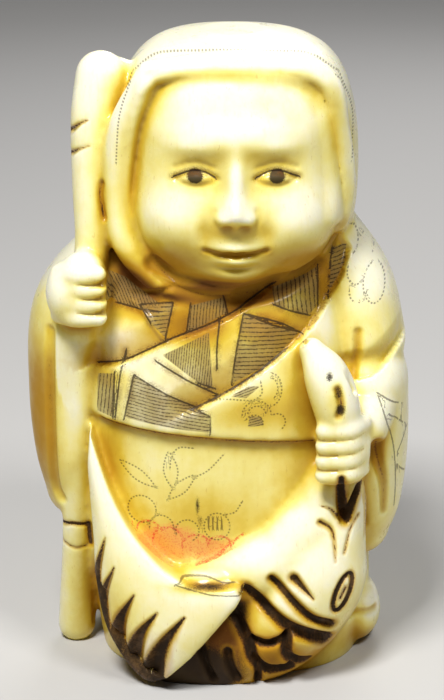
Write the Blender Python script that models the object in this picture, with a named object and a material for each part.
"""A bone netsuke: a small standing figure in a hood, holding an oar and a large fish.

The whole work is carved from one piece, so it is one object. Its forms are modelled as
closed meshes that overlap, a voxel Remesh fuses them as a carver would leave them, and
grooves are then cut into the fused surface. The figure faces -Y and stands on Z = 0.

The figure's forms are given in fiftieths of its height, so a point (x, y, z) below reads
as millimetres on a figure 50 mm high. The cord channel has real sizes of its own.
"""

import math

import bmesh
import bpy
import numpy as np
from mathutils import Matrix, Vector

MM = 0.001

# Driving dimensions, in metres
HEIGHT = 50 * MM
CORD_HOLE_DIAMETER = 3.2 * MM
CORD_HOLE_SPACING = 8.5 * MM
CORD_CHANNEL_DEPTH = 4.2 * MM
CORD_HOLE_HEIGHT = 20 * MM

UNIT = HEIGHT / 50

# Places on the figure, in units
JACKET_HEM = 20.2
HEM_SLOPE = -0.08
HEM_FADE = 5.8
FACE_X = 1.3
EYE_Z = 40.6
EYE_GAP = 3.0
MOUTH_Z = 34.8
OAR_FIST_TOP = 32.8
GRIP_FIST_TOP = 21.4
FINGERS = 4
FINGER_PITCH = 1.15
FIN_RAYS = 5
FIN_THICKNESS = 3.4
FIN_EDGES = (
    [(-9.9, 20.2), (-8.5, 16.2), (-7.0, 13.3), (-5.0, 10.9), (-3.2, 9.6), (-0.6, 8.9), (2.2, 9.2)],
    [(-10.1, 17.4), (-9.7, 12.0), (-9.5, 8.0), (-8.5, 3.8), (-5.6, 0.5), (-2.8, 2.4), (1.4, 7.5)],
)

VOXEL = 0.26 * UNIT
TRIANGLES = 9150
RING_POINTS = 40
DEEPEST_CUT = 1.3
STEP_EDGE = 0.45
BONE_COLOUR = (0.86, 0.76, 0.50, 1.0)
BONE_ROUGHNESS = 0.32


def clear_scene():
    """Removes whatever the file was opened with."""
    for obj in list(bpy.data.objects):
        bpy.data.objects.remove(obj)


def bone():
    """The one material: polished bone, warm ivory in colour."""
    material = bpy.data.materials.new("bone")
    material.use_nodes = True
    shader = material.node_tree.nodes["Principled BSDF"]
    shader.inputs["Base Color"].default_value = BONE_COLOUR
    shader.inputs["Roughness"].default_value = BONE_ROUGHNESS
    shader.inputs["Metallic"].default_value = 0.0
    return material


# Curves through points

def smooth_through(points, steps=8):
    """Points on a Catmull-Rom curve through the given rows, with steps between each two."""
    rows = np.asarray(points, float)
    padded = np.vstack([2 * rows[0] - rows[1], rows, 2 * rows[-1] - rows[-2]])
    t = np.linspace(0, 1, steps, endpoint=False)[:, None]
    parts = []
    for a, b, c, d in zip(padded, padded[1:], padded[2:], padded[3:]):
        parts.append(0.5 * (2 * b + (c - a) * t + (2 * a - 5 * b + 4 * c - d) * t**2
                            + (3 * b - 3 * c + d - a) * t**3))
    return np.vstack(parts + [rows[-1:]])


# Closed forms, each added to one mesh

def add_ellipsoid(block, centre, radii):
    """A ball stretched to three radii."""
    place = Matrix.Translation(Vector(centre) * UNIT)
    stretch = Matrix.Diagonal((*[r * UNIT for r in radii], 1.0))
    bmesh.ops.create_icosphere(block, subdivisions=5, radius=1.0, matrix=place @ stretch)


def add_rings(block, rings):
    """Joins closed rings of points, one after another, and closes both ends."""
    loops = [[block.verts.new(Vector(point) * UNIT) for point in ring] for ring in rings]
    for lower, upper in zip(loops, loops[1:]):
        for i, corner in enumerate(lower):
            j = (i + 1) % len(lower)
            block.faces.new((corner, lower[j], upper[j], upper[i]))
    block.faces.new(list(reversed(loops[0])))
    block.faces.new(loops[-1])


def add_tube(block, points, depth=1.0):
    """A round limb with a smooth curve for its core and rounded ends.

    Each point is (x, y, z, radius). depth stretches the section front to back.
    """
    core = smooth_through(points)
    centres, radii = core[:, :3], core[:, 3]
    along = np.gradient(centres, axis=0)
    along /= np.linalg.norm(along, axis=1)[:, None]
    ends = np.linspace(0.95, 0.0, 6)
    first = [(centres[0] - along[0] * radii[0] * s, radii[0] * math.sqrt(1 - s * s), along[0]) for s in ends]
    last = [(centres[-1] + along[-1] * radii[-1] * s, radii[-1] * math.sqrt(1 - s * s), along[-1])
            for s in reversed(ends)]
    stations = first + list(zip(centres[1:-1], radii[1:-1], along[1:-1])) + last
    angles = np.linspace(0, 2 * math.pi, RING_POINTS, endpoint=False)
    rings = []
    for centre, radius, direction in stations:
        side = np.cross(direction, (0.0, 1.0, 0.0))
        side /= np.linalg.norm(side)
        front = np.cross(direction, side)
        rings.append([centre + radius * (math.cos(a) * side + depth * math.sin(a) * front) for a in angles])
    add_rings(block, rings)


def add_loft(block, sections, hem=None):
    """An upright form through level sections, each (z, x, y, half width, half depth, squareness).

    Where there is a hem, the rings near its height tilt sideways by HEM_SLOPE, and less above it.
    """
    angles = np.linspace(0, 2 * math.pi, 2 * RING_POINTS, endpoint=False)
    rings = []
    for z, x, y, wide, deep, square in smooth_through(sections):
        power = 2 / square
        across = x + wide * np.sign(np.cos(angles)) * np.abs(np.cos(angles)) ** power
        back = y + deep * np.sign(np.sin(angles)) * np.abs(np.sin(angles)) ** power
        tilt = HEM_SLOPE * min(max((hem + HEM_FADE - z) / 4.0, 0.0), 1.0) if hem else 0.0
        rings.append(np.stack([across, back, z + tilt * across], -1))
    add_rings(block, rings)


def add_fin(block):
    """The tail fin: a sheet between two edges that swells towards its right-hand lobe."""
    upper, lower = (smooth_through(edge, steps=6) for edge in FIN_EDGES)
    rings = []
    for along, (high, low) in zip(np.linspace(0.12, 0.95, len(upper)), zip(upper, lower)):
        share = np.linspace(0, 1, 12)
        x, z = (high[axis] * (1 - share) + low[axis] * share for axis in (0, 1))
        reach = np.clip((x + 10.0) / 10.0, 0, 1)
        swell = 0.7 * np.sin(math.pi * share) * math.sin(math.pi * along)
        y = -8.3 - 3.6 * reach * (2 - reach) + 0.035 * np.clip(z - 8.0, 0, None) ** 1.4
        near = np.stack([x, y - swell, z], -1)
        far = np.stack([x, y + FIN_THICKNESS, z], -1)[::-1]
        rings.append(np.vstack([near, far]))
    add_rings(block, rings)


# The forms of the figure

def add_robe(block):
    """The robe's skirt, and the jacket whose hem stands out over it at the waist."""
    add_loft(block, [(-1.5, 1.0, 1.2, 10.2, 8.8, 2.5), (3.0, 0.9, 1.0, 10.8, 9.2, 2.6),
                     (10.0, 0.4, 1.0, 11.4, 9.5, 2.5), (18.0, 0.2, 1.0, 11.4, 9.5, 2.4),
                     (24.0, 0.2, 1.0, 11.2, 9.4, 2.3), (29.0, 0.2, 1.2, 10.8, 8.6, 2.2),
                     (32.5, 0.4, 1.4, 9.6, 7.6, 2.1), (35.5, 0.6, 1.4, 7.4, 6.2, 2.0)])
    add_loft(block, [(JACKET_HEM, 0.0, 1.35, 11.3, 10.5, 2.5), (24.0, 0.0, 1.3, 11.4, 10.4, 2.4),
                     (28.0, 0.1, 1.3, 11.0, 9.6, 2.3), (31.0, 0.3, 1.4, 10.0, 8.5, 2.2),
                     (34.0, 0.6, 1.4, 8.4, 7.2, 2.1)], hem=JACKET_HEM)


def add_sleeves(block):
    """Two wide hanging sleeves, the nearer one bent at the elbow towards the fish."""
    add_tube(block, [(-8.0, 1.6, 31.6, 3.5), (-10.8, 0.9, 27.6, 3.9), (-11.6, 0.7, 21.5, 3.5),
                     (-11.6, 0.5, 16.5, 3.1), (-11.4, 0.3, 13.2, 2.5)], depth=1.7)
    add_tube(block, [(7.6, 1.8, 33.4, 3.6), (9.8, 1.2, 29.6, 4.0), (10.8, 0.2, 25.6, 4.0)], depth=1.4)
    add_tube(block, [(11.1, -0.8, 22.6, 3.9), (11.6, -0.8, 17.6, 3.5), (11.6, -0.6, 13.0, 3.1),
                     (11.3, -0.4, 10.4, 2.6)], depth=1.5)
    add_tube(block, [(12.0, -2.4, 22.6, 2.7), (10.8, -6.4, 20.4, 2.3)])


def add_head(block):
    """The hood with its soft rolled edge, and the full face inside it."""
    add_loft(block, [(30.6, 1.0, 1.6, 5.6, 5.0, 2.1), (32.4, 1.0, 1.0, 8.0, 6.8, 2.2),
                     (35.5, 1.1, 0.8, 9.4, 8.0, 2.15), (40.0, 1.2, 0.5, 9.6, 8.5, 2.2),
                     (44.5, 1.3, 0.3, 9.1, 8.6, 2.3), (47.6, 1.3, 0.2, 7.9, 8.1, 2.4),
                     (49.3, 1.2, 0.2, 5.8, 6.4, 2.4), (50.0, 1.1, 0.2, 2.6, 3.0, 2.2)])
    add_loft(block, [(28.4, 0.6, 3.0, 9.4, 7.6, 2.3), (30.0, 0.7, 2.8, 9.6, 7.8, 2.3),
                     (34.0, 0.9, 2.4, 8.6, 7.4, 2.2), (38.0, 1.0, 1.8, 8.4, 7.2, 2.2),
                     (41.0, 1.1, 1.2, 7.6, 6.4, 2.1)])
    add_tube(block, [(-5.4, -6.1, 47.2, 1.0), (-7.0, -5.2, 43.4, 1.25), (-7.5, -4.7, 38.6, 1.35),
                     (-6.9, -5.0, 35.0, 1.35), (-4.8, -5.9, 32.4, 1.15), (-2.0, -6.7, 31.4, 0.9),
                     (0.9, -7.0, 31.1, 0.6)])
    add_tube(block, [(-5.1, -6.1, 47.9, 0.9), (1.3, -6.8, 48.8, 0.85), (7.6, -5.9, 47.7, 0.9),
                     (8.9, -4.9, 43.4, 0.95), (9.5, -4.2, 39.0, 0.9), (9.2, -4.0, 35.6, 0.7)])
    add_loft(block, [(31.4, 1.2, -3.6, 2.6, 3.0, 2.0), (32.4, 1.2, -3.0, 5.1, 4.9, 2.1),
                     (34.3, 1.25, -2.6, 7.2, 6.4, 2.4), (36.8, 1.3, -2.5, 8.0, 7.0, 2.6),
                     (40.0, 1.3, -2.4, 7.9, 7.0, 2.4), (44.5, 1.3, -2.3, 7.5, 6.7, 2.4),
                     (47.4, 1.3, -2.1, 6.5, 6.0, 2.4), (48.5, 1.3, -2.0, 4.8, 4.9, 2.3)])
    for side in (-1, 1):
        add_ellipsoid(block, (FACE_X + side * 0.95, -9.6, 37.4), (0.75, 0.7, 0.55))
    add_tube(block, [(FACE_X, -8.4, 41.2, 0.75), (FACE_X, -9.3, 39.2, 0.8), (FACE_X, -9.9, 37.7, 0.85)])
    add_ellipsoid(block, (FACE_X, -7.2, 33.0), (2.1, 1.9, 1.4))


def add_oar(block):
    """The oar, blade up beside the hood, its shaft leaning back to the ground."""
    add_ellipsoid(block, (-7.7, -1.6, 46.0), (2.0, 1.6, 2.2))
    add_tube(block, [(-8.8, -2.4, 46.9, 1.95), (-9.2, -3.0, 43.5, 1.95), (-9.3, -3.8, 38.0, 1.75),
                     (-9.6, -4.4, 34.0, 1.35), (-10.4, -4.8, 29.0, 1.3)], depth=0.95)
    add_tube(block, [(-10.4, -4.8, 29.6, 1.3), (-11.0, -3.8, 20.0, 1.3), (-11.2, -2.4, 10.0, 1.3),
                     (-11.6, -0.6, 1.2, 1.55)])


def add_hands(block):
    """Two fists: one with a broad back round the oar, one round the short grip above the fish."""
    add_ellipsoid(block, (-10.4, -5.3, 31.0), (2.3, 2.5, 2.5))
    add_ellipsoid(block, (-11.2, -5.9, 31.0), (1.9, 2.2, 2.6))
    add_ellipsoid(block, (-10.2, -6.3, 32.5), (1.8, 1.9, 1.8))
    add_ellipsoid(block, (9.6, -8.2, 19.4), (2.2, 2.2, 2.5))
    for row in range(FINGERS):
        z = OAR_FIST_TOP - FINGER_PITCH * row
        add_tube(block, [(-12.1, -5.9, z - 0.3, 0.7), (-10.6, -7.5, z, 0.8), (-9.0, -7.6, z + 0.05, 0.72)])
        z = GRIP_FIST_TOP - FINGER_PITCH * row
        add_tube(block, [(11.0, -8.6, z, 0.7), (9.8, -10.0, z, 0.85), (8.0, -10.0, z - 0.1, 0.75)])
    add_tube(block, [(7.0, -8.4, 27.2, 1.0), (8.0, -8.9, 25.6, 1.7), (8.8, -9.1, 23.4, 1.85),
                     (9.3, -8.9, 21.0, 1.6)])


def add_fish(block):
    """The fish: its head under the hand, its body along the foot and its tail curling up."""
    add_tube(block, [(10.3, -6.2, 16.8, 1.2), (9.2, -6.4, 14.2, 2.6), (7.6, -6.2, 11.0, 4.4),
                     (6.4, -6.2, 7.6, 5.0), (4.2, -6.4, 4.6, 4.7), (1.2, -6.4, 2.7, 4.2),
                     (-1.8, -6.4, 2.4, 4.0), (-4.6, -6.2, 2.5, 3.5), (-6.6, -6.0, 4.6, 2.2)])
    add_tube(block, [(8.6, -7.0, 16.2, 1.8), (7.1, -7.2, 12.9, 2.8), (4.9, -7.8, 10.4, 2.8),
                     (2.2, -8.4, 9.2, 2.6), (-1.0, -8.8, 8.8, 1.4), (-3.4, -8.9, 8.8, 0.8)])
    add_ellipsoid(block, (-0.6, -9.6, 8.9), (2.9, 1.75, 1.1))
    add_fin(block)


def add_foot(block):
    """The toe of one foot, showing under the sleeve beside the fish."""
    add_ellipsoid(block, (11.2, 0.6, 2.3), (2.1, 4.2, 2.5))
    add_tube(block, [(10.6, 1.2, 2.0, 1.8), (10.4, 0.8, 8.0, 1.9)], depth=1.6)


# Reliefs on the fused surface. Each is (width, depth, path, step) with (x, z) points seen from
# the front. A depth below zero raises a ridge, and a step presses only what lies left of the path.

def relief(width, depth, path, step=False):
    """One relief."""
    return width, depth, smooth_through(path), step


def fin_reliefs():
    """The cuts between the fin's rays, which open and lean over more towards the right."""
    cuts = []
    for share in np.linspace(0, 1, FIN_RAYS):
        over, drop = share**1.5, (1 - share) ** 2
        top = (-8.7 + 6.1 * over, 6.8 + 5.6 * drop)
        foot = (-9.5 + 4.0 * over, 0.8 + 5.8 * drop)
        middle = ((top[0] + foot[0]) / 2 - 0.25, (top[1] + foot[1]) / 2 + 0.1)
        cuts.append(relief(0.9 + 0.8 * share, 1.1, [top, middle, foot]))
    return cuts


def fish_reliefs():
    """The gill cover and the slits beyond it, the edges of the scales, and the mouth."""
    gills = [[(2.0, 8.9), (3.5, 7.2), (5.2, 5.7), (7.2, 4.5), (8.3, 3.8)],
             [(4.1, 9.5), (5.9, 7.5), (7.2, 6.2), (8.7, 5.3)],
             [(5.8, 9.5), (6.5, 8.8), (7.3, 7.9)]]
    scales = [[(1.3, 6.1), (2.3, 4.2), (2.7, 2.7), (3.8, 1.6), (5.6, 1.4)],
              [(5.3, 4.7), (5.3, 3.1), (5.9, 2.3), (6.9, 1.8)],
              [(2.6, 4.4), (3.8, 4.1), (5.1, 4.6)],
              [(0.7, 3.2), (0.9, 2.0), (1.5, 0.6)]]
    mouth = [[(9.3, 17.7), (9.5, 15.1), (9.8, 13.7)], [(10.9, 15.9), (10.4, 14.9), (9.8, 13.7)],
             [(7.8, 13.7), (8.6, 13.1), (9.0, 10.6)]]
    return ([relief(1.1, 0.9, path) for path in gills] + [relief(0.85, 0.7, path) for path in scales]
            + [relief(0.9, 0.8, path) for path in mouth])


def dress_reliefs():
    """The collars' steps, the right sleeve's fold and hollow, the hood's edge and the left fingers."""
    gaps = [OAR_FIST_TOP - FINGER_PITCH * (row + 0.5) for row in range(FINGERS - 1)]
    return [
        relief(1.9, 0.55, [(-9.2, 25.1), (-7.2, 25.8), (-5.2, 26.9), (-3.3, 27.9), (1.7, 30.1), (4.3, 31.7)],
               step=True),
        relief(2.2, 0.65, [(-2.0, 22.5), (-0.1, 23.5), (2.3, 24.9), (5.1, 26.9), (7.4, 28.8), (10.2, 34.0)],
               step=True),
        relief(1.6, 0.5, [(-4.9, 33.4), (-2.4, 31.5), (0.5, 31.0), (4.0, 31.3), (7.6, 32.6)]),
        relief(1.9, 0.5, [(9.6, 24.2), (11.4, 24.3), (12.8, 24.9), (14.6, 26.2)], step=True),
        relief(1.5, 0.75, [(12.1, 19.3), (12.3, 17.6), (12.9, 15.3), (13.0, 12.6)]),
        *[relief(0.8, 0.5, [(-10.0, z), (-9.2, z - 0.1), (-8.1, z)]) for z in gaps],
        relief(1.3, 0.6, [(-2.9, 32.3), (-4.9, 33.6), (-6.2, 36.0), (-6.8, 38.6), (-6.5, 42.2), (-5.9, 45.3),
                          (-4.6, 47.5), (FACE_X, 48.2), (7.0, 47.4), (8.2, 44.6), (8.8, 41.0), (9.0, 37.0)]),
    ]


def face_reliefs():
    """Brows, lids and lips, the same on both sides of the face."""
    bows = []
    for width, depth, rise, bow, half in ((1.5, -0.4, 0.4, 0.2, 1.6), (1.5, -0.4, -0.6, -0.2, 1.2),
                                          (0.5, 0.5, 0.1, -0.2, 2.1)):
        bows.append((width, depth, FACE_X, MOUTH_Z + rise, bow, half))
    for side in (-1, 1):
        for width, depth, rise, bow, half in ((1.6, -0.22, 1.6, 0.7, 1.6), (1.8, -0.3, 0.1, 0.3, 1.3),
                                              (0.5, 0.45, -0.1, -0.2, 1.3)):
            bows.append((width, depth, FACE_X + side * EYE_GAP, EYE_Z + rise, bow, half))
    return [relief(width, depth, [(middle - half, z), (middle, z + bow), (middle + half, z)])
            for width, depth, middle, z, bow, half in bows]


def back_reliefs():
    """The hem of the hood's drape and the folds of the robe behind."""
    hem = relief(1.0, 0.4, [(-10.0, 29.0), (-5.0, 28.4), (0.5, 28.2), (6.0, 28.4), (10.6, 29.0)])
    folds = []
    for x, top, lean in ((-6.2, 19.0, -1.4), (6.6, 19.0, 1.4), (-2.0, 12.0, -0.4), (3.2, 12.0, 0.2)):
        folds.append(relief(2.4, 0.55, [(x, top), (x + 0.5 * lean, top / 2), (x + lean, 2.0)]))
    return [hem] + folds


def distance_to(path, x, z):
    """The least distance from each point (x, z) to a run of short straight pieces, and its side.

    The side is above zero to the left of the nearest piece.
    """
    nearest = np.full(x.shape, np.inf)
    left = np.zeros(x.shape)
    for (x0, z0), (x1, z1) in zip(path, path[1:]):
        length = (x1 - x0) ** 2 + (z1 - z0) ** 2
        share = np.clip(((x - x0) * (x1 - x0) + (z - z0) * (z1 - z0)) / length, 0, 1)
        gap = np.hypot(x - x0 - share * (x1 - x0), z - z0 - share * (z1 - z0))
        turn = (x1 - x0) * (z - z0) - (z1 - z0) * (x - x0)
        left = np.where(gap < nearest, turn, left)
        nearest = np.minimum(nearest, gap)
    return nearest, left


def carve_reliefs(mesh):
    """Presses the surface in, or raises it, along each line, most on the line itself."""
    count = len(mesh.vertices)
    points = np.empty(count * 3)
    facing = np.empty(count * 3)
    mesh.vertices.foreach_get("co", points)
    mesh.vertex_normals.foreach_get("vector", facing)
    points = points.reshape(-1, 3)
    facing = facing.reshape(-1, 3)
    x, z = points[:, 0] / UNIT, points[:, 2] / UNIT
    press = np.zeros(count)
    front = fin_reliefs() + fish_reliefs() + dress_reliefs() + face_reliefs()
    for reliefs, side in ((front, -1), (back_reliefs(), 1)):
        towards = np.clip(side * facing[:, 1] * 4, 0, 1)
        for width, depth, path, step in reliefs:
            distance, left = distance_to(path, x, z)
            if step:
                rise = np.minimum(distance / STEP_EDGE, 1)
                share = np.where(left > 0, rise * np.clip(1 - distance / width, 0, 1), 0)
            else:
                near = np.clip(1 - distance / (width / 2), 0, 1)
                share = near * near * (3 - 2 * near)
            press += depth * towards * share
    points -= facing * (np.minimum(press, DEEPEST_CUT) * UNIT)[:, None]
    mesh.vertices.foreach_set("co", points.ravel())
    mesh.update()


def new_object(name, mesh):
    """Links a new object that holds the mesh."""
    obj = bpy.data.objects.new(name, mesh)
    bpy.context.scene.collection.objects.link(obj)
    return obj


def evaluated_mesh(obj):
    """The object's mesh with its modifiers applied."""
    bpy.context.view_layer.update()
    graph = bpy.context.evaluated_depsgraph_get()
    return bpy.data.meshes.new_from_object(obj.evaluated_get(graph), depsgraph=graph)


def rough_block():
    """All the forms fused into one skin, lightly smoothed."""
    block = bmesh.new()
    for add in (add_robe, add_sleeves, add_head, add_oar, add_hands, add_fish, add_foot):
        add(block)
    bmesh.ops.recalc_face_normals(block, faces=block.faces)
    mesh = bpy.data.meshes.new("rough_block")
    block.to_mesh(mesh)
    block.free()
    rough = new_object("rough_block", mesh)
    fuse = rough.modifiers.new("Fuse", "REMESH")
    fuse.mode = "VOXEL"
    fuse.voxel_size = VOXEL
    soften = rough.modifiers.new("Soften", "SMOOTH")
    soften.factor = 0.5
    soften.iterations = 3
    fused = evaluated_mesh(rough)
    bpy.data.objects.remove(rough)
    return outer_skin(fused)


def outer_skin(mesh):
    """The mesh without the small hollows that overlapping forms can leave inside it."""
    block = bmesh.new()
    block.from_mesh(mesh)
    waiting, skins = set(block.verts), []
    while waiting:
        skin, edge = set(), {waiting.pop()}
        while edge:
            skin |= edge
            edge = {link.other_vert(v) for v in edge for link in v.link_edges} - skin
        waiting -= skin
        skins.append(skin)
    largest = max(skins, key=len)
    bmesh.ops.delete(block, geom=[v for v in block.verts if v not in largest], context="VERTS")
    block.to_mesh(mesh)
    block.free()
    return mesh


def foot_cutter():
    """A slab that cuts the foot of the carving flat at Z = 0."""
    block = bmesh.new()
    wide, deep = 2 * HEIGHT, 0.2 * HEIGHT
    bmesh.ops.create_cube(block, size=1.0, matrix=Matrix.Translation((0, 0, -deep / 2))
                          @ Matrix.Diagonal((wide, wide, deep, 1.0)))
    mesh = bpy.data.meshes.new("foot_cutter")
    block.to_mesh(mesh)
    block.free()
    return as_cutter(new_object("foot_cutter", mesh))


def cord_cutter(back_y):
    """The bent drill path of the cord: in at one hole in the back and out at the other."""
    block = bmesh.new()
    half = CORD_HOLE_SPACING / 2
    reach = CORD_CHANNEL_DEPTH
    path = []
    for angle in np.linspace(0, math.pi, 15):
        path.append((0.0, back_y - reach * math.sin(angle), CORD_HOLE_HEIGHT - half * math.cos(angle)))
    outside = 2 * CORD_CHANNEL_DEPTH
    path = [(0.0, back_y + outside, path[0][2])] + path + [(0.0, back_y + outside, path[-1][2])]
    centres = np.array(path)
    along = np.gradient(centres, axis=0)
    along /= np.linalg.norm(along, axis=1)[:, None]
    rings = []
    for centre, direction in zip(centres, along):
        level = np.array((1.0, 0.0, 0.0))
        upright = np.cross(direction, level)
        rings.append([(centre + CORD_HOLE_DIAMETER / 2 * (math.cos(a) * level + math.sin(a) * upright)) / UNIT
                      for a in np.linspace(0, 2 * math.pi, 20, endpoint=False)])
    add_rings(block, rings)
    bmesh.ops.recalc_face_normals(block, faces=block.faces)
    mesh = bpy.data.meshes.new("cord_cutter")
    block.to_mesh(mesh)
    block.free()
    return as_cutter(new_object("cord_cutter", mesh))


def as_cutter(obj):
    """Marks a helper that only cuts."""
    obj.hide_render = True
    obj.display_type = "WIRE"
    return obj


def add_cut(obj, cutter):
    """A live Boolean difference."""
    cut = obj.modifiers.new(cutter.name, "BOOLEAN")
    cut.operation = "DIFFERENCE"
    cut.solver = "EXACT"
    cut.object = cutter


def back_surface(mesh):
    """How far back the surface stands behind the cord holes."""
    half = CORD_HOLE_SPACING / 2
    reach = [v.co.y for v in mesh.vertices
             if abs(v.co.x) < CORD_HOLE_DIAMETER and abs(v.co.z - CORD_HOLE_HEIGHT) < half]
    return max(reach)


def carve_figure():
    """The finished carving."""
    mesh = rough_block()
    carve_reliefs(mesh)
    mesh.name = "netsuke_carving"
    figure = new_object("netsuke_carving", mesh)
    figure.data.materials.append(bone())
    lighten = figure.modifiers.new("Lighten", "DECIMATE")
    lighten.ratio = min(1.0, TRIANGLES / (2 * len(mesh.polygons)))
    add_cut(figure, foot_cutter())
    add_cut(figure, cord_cutter(back_surface(mesh)))
    mesh.shade_smooth()
    return figure


def main():
    """Builds the netsuke in an empty scene."""
    clear_scene()
    carve_figure()


main()
